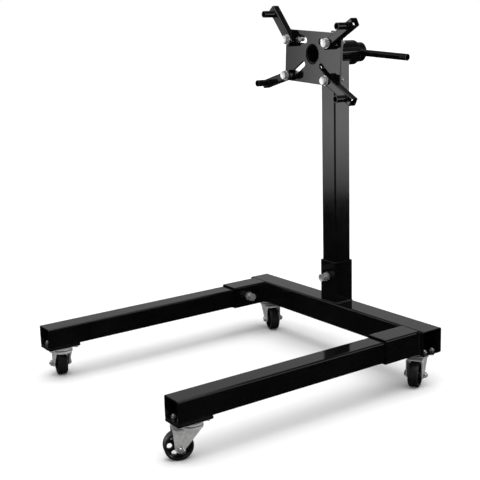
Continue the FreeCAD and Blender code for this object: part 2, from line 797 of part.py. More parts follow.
def build_wheel():
    """Wheel: disc with rounded tread edges, a dish in each face, a hub, a bore and a ring of holes."""
    body = doc.addObject("PartDesign::Body", "Wheel")
    disc = new_sketch(body, "XZ_Plane")
    add_circle(disc, "Dims.wheel_radius", "Tread")
    pad(body, disc, "Dims.wheel_width", middle=True)
    rims = edges_where(body, lambda edge: len(edge.Vertexes) == 1)
    fillet(body, rims, "Dims.wheel_shoulder")
    for side in (-1, 1):
        lift = f"{side} * Dims.wheel_web / 2"
        dish = new_sketch(body, "XZ_Plane", lift)
        add_circle(dish, "Dims.dish_radius", "Dish")
        pocket(body, dish, "Dims.wheel_width", forward=side > 0)
    hub = new_sketch(body, "XZ_Plane")
    add_circle(hub, "Dims.hub_radius", "Hub")
    pad(body, hub, "Dims.hub_width", middle=True)
    bore = new_sketch(body, "XZ_Plane")
    add_circle(bore, "Dims.axle_radius + Dims.running_play", "Bore")
    pocket(body, bore, "2 * Dims.hub_width", middle=True)
    hole = new_sketch(body, "XZ_Plane")
    add_circle(hole, "Dims.wheel_hole", "Hole", "Dims.wheel_hole_ring")
    first = pocket(body, hole, "2 * Dims.hub_width", middle=True)
    before = body.Shape.Volume
    pattern = body.newObject("PartDesign::PolarPattern", "Pattern")
    pattern.Originals = [first]
    pattern.Axis = (hole, ["N_Axis"])
    pattern.Angle = 360
    pattern.Occurrences = WHEEL_HOLES
    body.Tip = pattern
    doc.recompute()
    if body.Shape.Volume >= before:
        raise RuntimeError("the ring of holes cuts nothing")
    return body


def ball_groove():
    """The ring that cuts the groove of the balls into both races."""
    groove = doc.addObject("Part::Torus", "Groove")
    bind(groove, Radius1="Dims.ball_ring", Radius2="Dims.ball_radius + Dims.groove_play")
    move(groove, up=BALL_HEIGHT)
    return groove


def build_top_plate(tube_axis):
    """Caster's top plate with the upper swivel race under it."""
    along_x = tube_axis == "X"
    length = "Dims.top_plate_length" if along_x else "Dims.top_plate_width"
    width = "Dims.top_plate_width" if along_x else "Dims.top_plate_length"
    bottom = "Dims.caster_height - Dims.top_plate_thick"
    sheet_plate = box(length, width, "Dims.top_plate_thick", f"-{length} / 2", f"-{width} / 2", bottom)
    race = cylinder("Dims.race_radius", f"{bottom} - Dims.race_drop", "+Z", "0", "0", "Dims.race_drop")
    holes = small_holes(tube_axis, "0", "0", bottom, "Dims.top_plate_thick")
    pin_hole = cylinder("Dims.kingpin_radius", f"Dims.caster_height + {PAST}")
    return cut(fuse(sheet_plate, race), ball_groove(), pin_hole, *holes)


def build_balls():
    """Ring of bearing balls between the two races."""
    balls = []
    for index in range(BALLS):
        angle = 360 * index / BALLS
        ball = doc.addObject("Part::Sphere", "Ball")
        bind(ball, Radius="Dims.ball_radius")
        move(ball, f"Dims.ball_ring * cos({angle})", f"Dims.ball_ring * sin({angle})", BALL_HEIGHT)
        balls.append(ball)
    return group(*balls)


def build_kingpin():
    """Kingpin, riveted into the top plate, with its head under the yoke."""
    foot = "Dims.yoke_top - Dims.yoke_sheet - Dims.kingpin_head_thick - Dims.running_play"
    length = f"Dims.caster_height - Dims.kingpin_recess - ({foot})"
    return fuse(
        cylinder("Dims.kingpin_radius", length, up=foot),
        cylinder("Dims.kingpin_head", "Dims.kingpin_head_thick", up=foot),
    )


def build_axle():
    """Axle bolt along Y through the yoke and the wheel, with its nut."""
    outside = "Dims.yoke_width / 2"
    length = "Dims.yoke_width + Dims.axle_nut_thick + Dims.small_bolt_spare"
    bolt = fuse(
        cylinder("Dims.axle_radius", length, "+Y", along=f"-{outside}"),
        hexagon("Dims.axle_head", "Dims.axle_head_thick", "-Y", along=f"-{outside}"),
    )
    axle_nut = nut("Dims.axle_head", "Dims.axle_radius", "Dims.axle_nut_thick", "+Y", along=outside)
    return group(bolt, axle_nut)


def build_plate_bolts(tube_axis, grip):
    """Four bolts up through a caster's top plate and the wall above it, each with its nut."""
    under = "Dims.caster_height - Dims.top_plate_thick"
    length = f"{grip} + Dims.small_nut_thick + Dims.small_bolt_spare"
    pieces = []
    for across, along in bolt_spots(tube_axis):
        shank = cylinder("Dims.small_bolt", length, "+Z", across, along, under)
        head = hexagon("Dims.small_head", "Dims.small_head_thick", "-Z", across, along, under)
        pieces.append(fuse(shank, head))
        place = (across, along, f"{under} + {grip}")
        pieces.append(nut("Dims.small_head", "Dims.small_bolt", "Dims.small_nut_thick", "+Z", *place))
    return group(*pieces)


def build_caster(name, side, front, heading):
    """One caster: top plate, balls, kingpin, yoke, wheel, axle and the four bolts that hold its plate."""
    tube_axis = "Y" if front else "X"
    if front:
        spot = Vector(side * dim("leg_x"), dim("leg_rear_y") - dim("leg_length") + dim("caster_front"), 0)
        grip = "Dims.top_plate_thick + Dims.leg_bottom - Dims.caster_height + Dims.leg_wall"
    else:
        spot = Vector(side * dim("caster_rear_x"), dim("beam_y"), 0)
        grip = "Dims.top_plate_thick + Dims.beam_wall"
    swing = Rotation(Vector(0, 0, 1), heading)

    fixed = Placement(spot, Rotation())
    swivelled = Placement(spot, swing)
    at_axle = swivelled.multiply(Placement(Vector(dim("trail"), 0, dim("wheel_radius")), Rotation()))

    node(build_top_plate(tube_axis), "caster_plate_" + name).Placement = fixed
    node(build_balls(), "caster_balls_" + name).Placement = fixed
    node(build_kingpin(), "kingpin_" + name).Placement = fixed
    node(cut(build_yoke(), ball_groove()), "yoke_" + name).Placement = swivelled
    node(build_wheel(), "wheel_" + name).Placement = at_axle
    node(build_axle(), "axle_" + name).Placement = at_axle
    node(build_plate_bolts(tube_axis, grip), "caster_bolts_" + name).Placement = fixed


# --- build and export --------------------------------------------------------------------------------------


def build_stand():
    """Build every sub-part in order."""
    fill_sheet()
    build_crossbeam()
    build_leg_side("left", -1)
    build_leg_side("right", 1)
    build_post()
    build_locks()
    build_mounting_plate()
    build_spindle()
    for arm in ARMS:
        build_arm(*arm)
    for caster in CASTERS:
        build_caster(*caster)
    doc.recompute()


def check_and_export():
    """Stop if anything failed to compute, then write one file for each node."""
    for thing in doc.Objects:
        if "Invalid" in thing.State or "Error" in thing.State:
            raise RuntimeError(thing.Label + " failed: " + ", ".join(thing.State))
    for thing in nodes:
        if thing.Shape.isNull() or not thing.Shape.isValid():
            raise RuntimeError(thing.Label + " has no valid shape")
    for thing in nodes:
        thing.Shape.exportStep(os.path.join("parts", thing.Label + ".step"))
        print(f"{thing.Label}: {len(thing.Shape.Solids)} solid(s), {thing.Shape.Volume / 1000:.1f} cm3")


build_stand()
check_and_export()
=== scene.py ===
"""Rolling engine stand: finishes, rounded edges, threads, weld beads and studio.

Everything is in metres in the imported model's frame: +Z up, X along the crossbeam, legs towards -Y.
"""

import enum
import json
import logging
import math
from dataclasses import dataclass, replace
from functools import partial
from typing import Any, Callable, Iterable, Sequence

import bmesh
import bpy
from bmesh.types import BMesh
from mathutils import Matrix, Vector


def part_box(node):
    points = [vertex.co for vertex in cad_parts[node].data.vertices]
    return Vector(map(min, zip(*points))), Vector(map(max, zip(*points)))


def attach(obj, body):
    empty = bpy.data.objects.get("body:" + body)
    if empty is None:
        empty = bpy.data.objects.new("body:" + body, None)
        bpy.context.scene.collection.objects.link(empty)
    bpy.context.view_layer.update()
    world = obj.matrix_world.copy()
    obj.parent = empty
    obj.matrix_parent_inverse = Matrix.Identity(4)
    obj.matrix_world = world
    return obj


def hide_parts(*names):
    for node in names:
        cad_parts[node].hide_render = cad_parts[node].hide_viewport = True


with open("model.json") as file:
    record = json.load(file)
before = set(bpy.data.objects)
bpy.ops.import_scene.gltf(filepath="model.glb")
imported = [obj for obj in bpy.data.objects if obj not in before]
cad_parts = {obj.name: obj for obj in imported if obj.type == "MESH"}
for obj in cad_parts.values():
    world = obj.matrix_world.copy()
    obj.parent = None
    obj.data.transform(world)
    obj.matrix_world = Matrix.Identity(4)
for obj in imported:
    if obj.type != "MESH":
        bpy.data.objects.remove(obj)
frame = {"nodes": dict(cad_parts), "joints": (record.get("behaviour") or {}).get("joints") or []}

LOG = logging.getLogger("engine_stand")
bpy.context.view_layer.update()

Colour = tuple[float, float, float]
Profile = Callable[[float], tuple[float, float]]
Stops = tuple[tuple[float, float], ...]
Socket = bpy.types.NodeSocket

MERGE = 4e-6
FLAT_ANGLE = math.radians(0.5)
SHARP_ANGLE = math.radians(38.0)
SMOOTH_ANGLE = math.radians(28.0)
UP = Vector((0.0, 0.0, 1.0))
FORWARDS = Vector((0.0, -1.0, 0.0))
REARWARDS = Vector((0.0, 1.0, 0.0))
HALF_TURN = Matrix.Rotation(math.pi, 4, "X")
WELDED_NUT_SCALE = 11.2 / 10.6
OVERLAP = 0.0005
GRIP = {"front": 0.011, "rear": 0.0055}
SIDES = ("left", "right")
CORNERS = ("front_left", "front_right", "rear_left", "rear_right")
ARM_NAMES = ("upper_left", "upper_right", "lower_left", "lower_right")


# --- finishes ---


class NodeTree:
    """A node tree, with short ways to add and join its nodes."""

    def __init__(self, tree: bpy.types.NodeTree) -> None:
        """Take the tree.

        Args:
            tree: the tree that the nodes go into.
        """
        self.tree = tree

    def add(self, kind: str, **values: Any) -> bpy.types.Node:
        """Add a node.

        Args:
            kind: the node's type.
            values: properties of the node, or of its inputs where no property has the name,
                or outputs that go into its inputs.

        Returns:
            The new node.
        """
        node = self.tree.nodes.new(kind)
        for key, value in values.items():
            if isinstance(value, Socket):
                self.join(value, node.inputs[key.replace("_", " ")])
            elif hasattr(node, key):
                setattr(node, key, value)
            else:
                node.inputs[key.replace("_", " ")].default_value = value
        return node

    def join(self, source: Socket, target: Socket) -> None:
        """Link an output to an input."""
        self.tree.links.new(source, target)


class ShaderTree(NodeTree):
    """A new material with a Principled shader, and the patterns that the finishes share."""

    def __init__(self, name: str) -> None:
        """Start the material.

        Args:
            name: the material's name.
        """
        self.material = bpy.data.materials.new(name)
        self.material.use_nodes = True
        super().__init__(self.material.node_tree)
        self.shader = self.tree.nodes["Principled BSDF"]
        self.coordinates = self.add("ShaderNodeTexCoord").outputs["Object"]

    def noise(self, scale: float, detail: float = 2.0, roughness: float = 0.5) -> Socket:
        """Noise over the piece's own coordinates.

        Args:
            scale: how many features there are in a metre.
            detail: octaves of the noise.
            roughness: how strong the finer octaves are.

        Returns:
            The noise's value.
        """
        node = self.add(
            "ShaderNodeTexNoise", Vector=self.coordinates,
            Scale=scale, Detail=detail, Roughness=roughness,
        )
        return node.outputs["Fac"]

    def spread(self, value: Socket, low: float, high: float) -> Socket:
        """Stretch a noise's usual values over a range.

        Args:
            value: the noise's value.
            low: what its low values become.
            high: what its high values become.

        Returns:
            The stretched value.
        """
        node = self.add(
            "ShaderNodeMapRange", Value=value, From_Min=0.3, From_Max=0.7, To_Min=low, To_Max=high
        )
        return node.outputs["Result"]

    def blend(self, value: Socket, low: Colour, high: Colour) -> Socket:
        """Colour between two colours, chosen by a value.

        Args:
            value: 0 for the first colour, 1 for the second.
            low: the first colour.
            high: the second colour.

        Returns:
            The mixed colour.
        """
        node = self.add("ShaderNodeMix", data_type="RGBA")
        node.inputs[6].default_value = (*low, 1.0)
        node.inputs[7].default_value = (*high, 1.0)
        self.join(value, node.inputs[0])
        return node.outputs[2]

    def relief(self, height: Socket, strength: float, depth: float) -> None:
        """Press a height pattern into the shader's normal.

        Args:
            height: the pattern.
            strength: how much of it shows.
            depth: how deep it is, in metres.
        """
        bump = self.add("ShaderNodeBump", Height=height, Strength=strength, Distance=depth)
        self.join(bump.outputs["Normal"], self.shader.inputs["Normal"])


@dataclass(frozen=True)
class GlossPaint:
    """Sprayed black paint: a deep gloss with orange peel and faint wiping marks."""

    name: str = "gloss_black_paint"
    deep: Colour = (0.0016, 0.0016, 0.0017)
    thin: Colour = (0.0034, 0.0034, 0.0035)
    smooth: float = 0.04
    wiped: float = 0.1
    peel_scale: float = 520.0
    peel_depth: float = 0.00006

    def build(self) -> bpy.types.Material:
        """Make the material.

        Returns:
            The material.
        """
        tree = ShaderTree(self.name)
        tree.join(
            tree.blend(tree.spread(tree.noise(14.0, 4.0), 0.0, 1.0), self.deep, self.thin),
            tree.shader.inputs["Base Color"],
        )
        marks = tree.spread(tree.noise(22.0, 5.0, 0.62), self.smooth, self.wiped)
        tree.join(marks, tree.shader.inputs["Roughness"])
        tree.shader.inputs["IOR"].default_value = 1.5
        tree.relief(tree.noise(self.peel_scale, 1.5), 0.35, self.peel_depth)
        return tree.material


@dataclass(frozen=True)
class PlatedMetal:
    """Plated or bare metal: grain at two scales and an uneven shine."""

    name: str
    metallic: float
    dark: Colour
    light: Colour
    shine: float
    dull: float
    grain_scale: float
    grain_depth: float

    def build(self) -> bpy.types.Material:
        """Make the material.

        Returns:
            The material.
        """
        tree = ShaderTree(self.name)
        tree.shader.inputs["Metallic"].default_value = self.metallic
        patches = tree.spread(tree.noise(140.0, 3.0), 0.0, 1.0)
        tree.join(tree.blend(patches, self.dark, self.light), tree.shader.inputs["Base Color"])
        uneven = tree.spread(tree.noise(90.0, 4.0, 0.6), self.shine, self.dull)
        tree.join(uneven, tree.shader.inputs["Roughness"])
        tree.relief(tree.noise(self.grain_scale, 3.0, 0.6), 0.4, self.grain_depth)
        return tree.material


@dataclass(frozen=True)
class MouldedWheel:
    """Hard black moulding: low sheen, fine texture and a little dust."""

    name: str = "moulded_wheel"
    clean: Colour = (0.003, 0.003, 0.0031)
    dusty: Colour = (0.010, 0.0099, 0.0097)
    smooth: float = 0.34
    rough: float = 0.5

    def build(self) -> bpy.types.Material:
        """Make the material.

        Returns:
            The material.
        """
        tree = ShaderTree(self.name)
        dust = tree.spread(tree.noise(65.0, 5.0, 0.6), 0.0, 1.0)
        tree.join(tree.blend(dust, self.clean, self.dusty), tree.shader.inputs["Base Color"])
        uneven = tree.spread(tree.noise(180.0, 3.0), self.smooth, self.rough)
        tree.join(uneven, tree.shader.inputs["Roughness"])
        tree.shader.inputs["IOR"].default_value = 1.45
        tree.relief(tree.noise(1500.0, 2.0), 0.25, 0.00005)
        return tree.material


@dataclass(frozen=True)
class StudioPaper:
    """Plain white floor."""

    name: str = "studio_paper"
    colour: Colour = (0.93, 0.93, 0.93)

    def build(self) -> bpy.types.Material:
        """Make the material.

        Returns:
            The material.
        """
        tree = ShaderTree(self.name)
        tree.shader.inputs["Base Color"].default_value = (*self.colour, 1.0)
        tree.shader.inputs["Roughness"].default_value = 1.0
        tree.shader.inputs["Specular IOR Level"].default_value = 0.0
        return tree.material


class Finish(enum.Enum):
    """The finishes of the stand: the record's slot, and how its surface is made."""

    PAINT = ("black_paint", GlossPaint())
    ZINC = ("zinc_plate", PlatedMetal(
        "bright_zinc", metallic=0.8, dark=(0.56, 0.56, 0.55), light=(0.8, 0.8, 0.78),
        shine=0.18, dull=0.32, grain_scale=900.0, grain_depth=0.00003,
    ))
    SHEET = ("zinc_plate", PlatedMetal(
        "pressed_zinc_sheet", metallic=0.35, dark=(0.4, 0.4, 0.395), light=(0.56, 0.56, 0.55),
        shine=0.36, dull=0.5, grain_scale=1400.0, grain_depth=0.00003,
    ))
    BEARING = ("bearing_steel", PlatedMetal(
        "ground_bearing_steel", metallic=1.0, dark=(0.55, 0.55, 0.56), light=(0.68, 0.68, 0.69),
        shine=0.08, dull=0.16, grain_scale=2500.0, grain_depth=0.00001,
    ))
    WHEEL = ("wheel_moulding", MouldedWheel())

    @property
    def slot(self) -> str:
        """The record's material slot."""
        return self.value[0]

    def build(self) -> bpy.types.Material:
        """Make the finish's material."""
        return self.value[1].build()


# --- meshes ---


def new_object(name: str, data: bpy.types.ID) -> bpy.types.Object:
    """Put a mesh, a camera or a lamp into the scene as an object at the origin.

    Args:
        name: the object's name.
        data: what it shows.

    Returns:
        The new object.
    """
    thing = bpy.data.objects.new(name, data)
    bpy.context.scene.collection.objects.link(thing)
    return thing


def from_bmesh(name: str, work: BMesh) -> bpy.types.Object:
    """Turn a bmesh into an object and free it.

    Args:
        name: the object's name.
        work: the bmesh.

    Returns:
        The new object.
    """
    mesh = bpy.data.meshes.new(name)
    work.to_mesh(mesh)
    work.free()
    return new_object(name, mesh)


def apply_modifiers(thing: bpy.types.Object) -> None:
    """Replace an object's mesh by its evaluated one and take its modifiers off.

    Args:
        thing: the object.
    """
    graph = bpy.context.evaluated_depsgraph_get()
    made = bpy.data.meshes.new_from_object(thing.evaluated_get(graph), depsgraph=graph)
    old = thing.data
    thing.modifiers.clear()
    thing.data = made
    if old.users == 0:
        bpy.data.meshes.remove(old)


def smooth_between_edges(mesh: bpy.types.Mesh) -> None:
    """Shade a mesh smooth, and sharp where its faces meet at a clear angle."""
    mesh.shade_smooth()
    mesh.set_sharp_from_angle(angle=SMOOTH_ANGLE)


def rounded_copy(
    node: str, width: float, segments: int = 2, holed: bool = False
) -> bpy.types.Object:
    """Copy a node's mesh, clean it, and round its sharp edges.

    Args:
        node: the node's name.
        width: how far the rounding reaches from an edge.
        segments: faces across the rounding.
        holed: True where a flat face has many holes, so it is split before the rounding.

    Returns:
        The finished copy.
    """
    work = bmesh.new()
    work.from_mesh(frame["nodes"][node].data)
    bmesh.ops.remove_doubles(work, verts=work.verts, dist=MERGE)
    bmesh.ops.dissolve_limit(
        work, angle_limit=FLAT_ANGLE, verts=work.verts, edges=work.edges, delimit=set()
    )
    if holed:
        bmesh.ops.triangulate(work, faces=[face for face in work.faces if len(face.verts) > 4])
    thing = from_bmesh(node + "_finished", work)
    thing.data.shade_smooth()
    bevel = thing.modifiers.new("Rounding", "BEVEL")
    bevel.width = width
    bevel.segments = segments
    bevel.limit_method = "ANGLE"
    bevel.angle_limit = SHARP_ANGLE
    bevel.use_clamp_overlap = False
    weights = thing.modifiers.new("Flat faces", "WEIGHTED_NORMAL")
    weights.weight = 100
    weights.keep_sharp = False
    apply_modifiers(thing)
    return thing


def ring_stack(work: BMesh, rings: Sequence[Profile], steps: int, closed: bool) -> None:
    """Add a shape made of rings about Z, each given by a radius and a height for every angle.

    Args:
        work: the bmesh that takes the shape.
        rings: the rings from the bottom, or round the section of a shape with a hole.
        steps: points in each ring.
        closed: True to join the last ring to the first, False to close both ends with a face.
    """
    loops = []
    for ring in rings:
        loop = []
        for step in range(steps):
            angle = math.tau * step / steps
            radius, height = ring(angle)
            point = (radius * math.cos(angle), radius * math.sin(angle), height)
            loop.append(work.verts.new(point))
        loops.append(loop)
    pairs = list(zip(loops, loops[1:]))
    if closed:
        pairs.append((loops[-1], loops[0]))
    else:
        work.faces.new(list(reversed(loops[0])))
        work.faces.new(loops[-1])
    for lower, upper in pairs:
        for step in range(steps):
            following = (step + 1) % steps
            work.faces.new((lower[step], lower[following], upper[following], upper[step]))


def level(radius: float, height: float) -> Profile:
    """A plain round ring."""
    return lambda angle: (radius, height)


def axis_frame(origin: Vector, axis: Vector, spin: float = 0.0) -> Matrix:
    """The matrix that stands a shape drawn about Z on a point, along an axis.

    Args:
        origin: where the shape's own origin goes.
        axis: the direction that its Z takes.
        spin: its turn about that axis, in radians.

    Returns:
        The matrix.
    """
    turn = UP.rotation_difference(axis.normalized()).to_matrix().to_4x4()
    return Matrix.Translation(origin) @ turn @ Matrix.Rotation(spin, 4, "Z")


# --- fasteners ---


@dataclass(frozen=True)
class Hardware:
    """Hexagonal bolts, nuts and washers of one thread size, drawn about Z."""

    shank: float
    corner: float
    head: float
    nut: float
    pitch: float
    washer_radius: float = 0.012
    washer: float = 0.0025
    shank_play: float = 0.00022
    steps: int = 36
    shank_steps: int = 32
    thread_steps: int = 24
    washer_steps: int = 48

    @property
    def apothem(self) -> float:
        """Distance from the middle to a flat."""
        return self.corner * math.cos(math.pi / 6)

    @property
    def rim(self) -> float:
        """Radius of the flat face inside the chamfer."""
        return self.apothem * 0.96

    def hexagon(self, height: float, drop: float = 0.0) -> Profile:
        """A hexagonal ring, lowered towards its corners by the conical chamfer.

        Args:
            height: height of the ring where the chamfer starts.
            drop: 1 for an upper chamfer, -1 for a lower one, 0 for none.

        Returns:
            The ring.
        """

        def ring(angle: float) -> tuple[float, float]:
            """Radius and height at an angle."""
            radius = self.apothem / math.cos(angle % (math.pi / 3) - math.pi / 6)
            return radius, height - drop * (radius - self.rim) * math.tan(math.pi / 6)

        return ring

    def add_head(self, work: BMesh, bottom: float) -> None:
        """Add a bolt head that stands up from a height, with a dished top.

        Args:
            work: the bmesh that takes the head.
            bottom: the head's bearing face.
        """
        top = bottom + self.head
        step, dish = 0.0003, 0.0002
        rings = [
            level(self.rim, bottom),
            self.hexagon(bottom + step),
            self.hexagon(top, 1.0),
            level(self.rim, top),
            level(self.rim * 0.72, top - dish),
            level(self.rim * 0.3, top - 2 * dish),
        ]
        ring_stack(work, rings, self.steps, closed=False)

    def hang_head(self, work: BMesh, bearing: float) -> None:
        """Add a bolt head that hangs down from a height, as the first thing drawn.

        Args:
            work: the empty bmesh that takes the head.
            bearing: the head's bearing face.
        """
        self.add_head(work, -bearing)
        bmesh.ops.transform(work, matrix=HALF_TURN, verts=work.verts)

    def add_nut(self, work: BMesh, bottom: float, corner_scale: float = 1.0) -> None:
        """Add a nut that stands up from a height.

        Args:
            work: the bmesh that takes the nut.
            bottom: the nut's lower face.
            corner_scale: how much larger than the thread size's own nut it is.
        """
        body = replace(self, corner=self.corner * corner_scale)
        top = bottom + self.nut
        bore = self.shank * 0.97
        lead_in = 0.0006
        mouth = bore + 0.0007
        rings = [
            level(bore, bottom + lead_in),
            level(mouth, bottom),
            level(body.rim, bottom),
            body.hexagon(bottom, -1.0),
            body.hexagon(top, 1.0),
            level(body.rim, top),
            level(mouth, top),
            level(bore, top - lead_in),
        ]
        ring_stack(work, rings, self.steps, closed=True)

    def add_washer(self, work: BMesh, bottom: float) -> None:
        """Add a washer whose edges are a little rounded by stamping.

        Args:
            work: the bmesh that takes the washer.
            bottom: the washer's lower face.
        """
        edge = 0.0004
        bore = self.shank + 0.0003
        top = bottom + self.washer
        rings = [
            level(bore, bottom),
            level(self.washer_radius - edge, bottom),
            level(self.washer_radius, bottom + edge),
            level(self.washer_radius, top - edge),
            level(self.washer_radius - edge, top),
            level(bore + edge, top),
            level(bore, top - edge),
        ]
        ring_stack(work, rings, self.washer_steps, closed=True)

    def thread_point(self, angle: float, height: float, top: float) -> tuple[float, float]:
        """A point of the thread's surface.

        Args:
            angle: the point's turn about Z.
            height: its height.
            top: upper end of the rod, where the chamfer ends.

        Returns:
            The point's radius and its height.
        """
        phase = (height / self.pitch - angle / math.tau) % 1.0
        notch = self.pitch * 0.54 * (1.0 - abs(2.0 * phase - 1.0))
        lead = max(0.0, height - (top - self.pitch)) * 0.7
        return self.shank - max(notch, lead), height

    def add_thread(self, work: BMesh, bottom: float, top: float) -> None:
        """Add a rod with a helical thread and a chamfered upper end.

        Args:
            work: the bmesh that takes the rod.
            bottom: its lower end.
            top: its upper end.
        """
        rings_in_turn = 6
        count = max(2, round((top - bottom) / self.pitch * rings_in_turn))
        heights = [bottom + (top - bottom) * index / count for index in range(count + 1)]
        rings = [partial(self.thread_point, height=height, top=top) for height in heights]
        ring_stack(work, rings, self.thread_steps, closed=False)

    def add_shank(self, work: BMesh, bottom: float, top: float) -> None:
        """Add a plain round shank, a hair thinner than its hole.

        Args:
            work: the bmesh that takes the shank.
            bottom: its lower end.
            top: its upper end.
        """
        radius = self.shank - self.shank_play
        rings = [level(radius, bottom), level(radius, top)]
        ring_stack(work, rings, self.shank_steps, closed=False)


M12 = Hardware(shank=0.006, corner=0.0106, head=0.0075, nut=0.010, pitch=0.00175)
M8 = Hardware(shank=0.004, corner=0.0074, head=0.005, nut=0.0065, pitch=0.00125)
M6 = Hardware(shank=0.003, corner=0.00577, head=0.004, nut=0.005, pitch=0.001)


# --- geometry nodes ---


class GeometryTree(NodeTree):
    """A geometry node group with named inputs that ends in Realize Instances and Set Material."""

    def __init__(self, name: str, inputs: dict[str, str]) -> None:
        """Start the group.

        Args:
            name: the group's name.
            inputs: name and socket type of each input besides the geometry and the finish.
        """
        super().__init__(bpy.data.node_groups.new(name, "GeometryNodeTree"))
        make = self.tree.interface.new_socket
        make("Geometry", in_out="INPUT", socket_type="NodeSocketGeometry")
        for label, kind in inputs.items():
            make(label, in_out="INPUT", socket_type=kind)
        make("Finish", in_out="INPUT", socket_type="NodeSocketMaterial")
        make("Geometry", in_out="OUTPUT", socket_type="NodeSocketGeometry")
        self.source = self.add("NodeGroupInput")

    def given(self, label: str) -> Socket:
        """The group's own input of a name."""
        return self.source.outputs[label]

    def end(self, instances: Socket) -> None:
        """Realize the instances, give them the finish and close the group.

        Args:
            instances: the instances.
        """
        realize = self.add("GeometryNodeRealizeInstances", Geometry=instances)
        dress = self.add(
            "GeometryNodeSetMaterial",
            Geometry=realize.outputs["Geometry"], Material=self.given("Finish"),
        )
        self.add("NodeGroupOutput", Geometry=dress.outputs["Geometry"])

    def run(self, thing: bpy.types.Object, values: dict[str, Any]) -> None:
        """Run the group on an object and keep the plain mesh that it gives.

        Args:
            thing: the object that holds the source geometry.
            values: a value for each named input.
        """
        modifier = thing.modifiers.new("Pattern", "NODES")
        modifier.node_group = self.tree
        identifiers = {
            item.name: item.identifier
            for item in self.tree.interface.items_tree
            if item.item_type == "SOCKET" and item.in_out == "INPUT"
        }
        for label, value in values.items():
            modifier[identifiers[label]] = value
        apply_modifiers(thing)


class WeldTree(GeometryTree):
    """Overlapping ripples along the source's edges, as a weld bead has."""

    def __init__(self) -> None:
        """Build the group."""
        inputs = {
            "Ripple Spacing": "NodeSocketFloat",
            "Bead Radius": "NodeSocketFloat",
            "Seed": "NodeSocketInt",
        }
        super().__init__("Weld bead", inputs)
        path = self.add("GeometryNodeMeshToCurve", Mesh=self.given("Geometry"))
        steps = self.add(
            "GeometryNodeResampleCurve", mode="LENGTH",
            Curve=path.outputs["Curve"], Length=self.given("Ripple Spacing"),
        )
        ripple = self.add(
            "GeometryNodeMeshUVSphere", Segments=10, Rings=6, Radius=self.given("Bead Radius")
        )
        soft = self.add("GeometryNodeSetShadeSmooth", Geometry=ripple.outputs["Mesh"])
        tangent = self.add("GeometryNodeInputTangent").outputs["Tangent"]
        aim = self.add("FunctionNodeAlignRotationToVector", axis="X", Vector=tangent)
        size = self.add(
            "FunctionNodeRandomValue", data_type="FLOAT_VECTOR",
            Min=(0.5, 0.86, 0.86), Max=(0.66, 1.08, 1.08), Seed=self.given("Seed"),
        )
        place = self.add(
            "GeometryNodeInstanceOnPoints",
            Points=steps.outputs["Curve"], Instance=soft.outputs["Geometry"],
            Rotation=aim.outputs["Rotation"], Scale=size.outputs[0],
        )
        self.end(place.outputs["Instances"])


class SpreadTree(GeometryTree):
    """One hardware object on each point of the source, each turned a little differently about Z."""

    def __init__(self) -> None:
        """Build the group."""
        inputs = {
            "Hardware": "NodeSocketObject",
            "Largest Turn": "NodeSocketFloat",
            "Seed": "NodeSocketInt",
        }
        super().__init__("Hardware spread", inputs)
        thing = self.add(
            "GeometryNodeObjectInfo", transform_space="ORIGINAL",
            Object=self.given("Hardware"), As_Instance=True,
        )
        turn = self.add("FunctionNodeRandomValue", data_type="FLOAT", Seed=self.given("Seed"))
        self.join(self.given("Largest Turn"), turn.inputs[3])
        about_z = self.add("ShaderNodeCombineXYZ", Z=turn.outputs[1])
        place = self.add(
            "GeometryNodeInstanceOnPoints", Points=self.given("Geometry"),
            Instance=thing.outputs["Geometry"], Rotation=about_z.outputs["Vector"],
        )
        self.end(place.outputs["Instances"])


# --- workshop ---


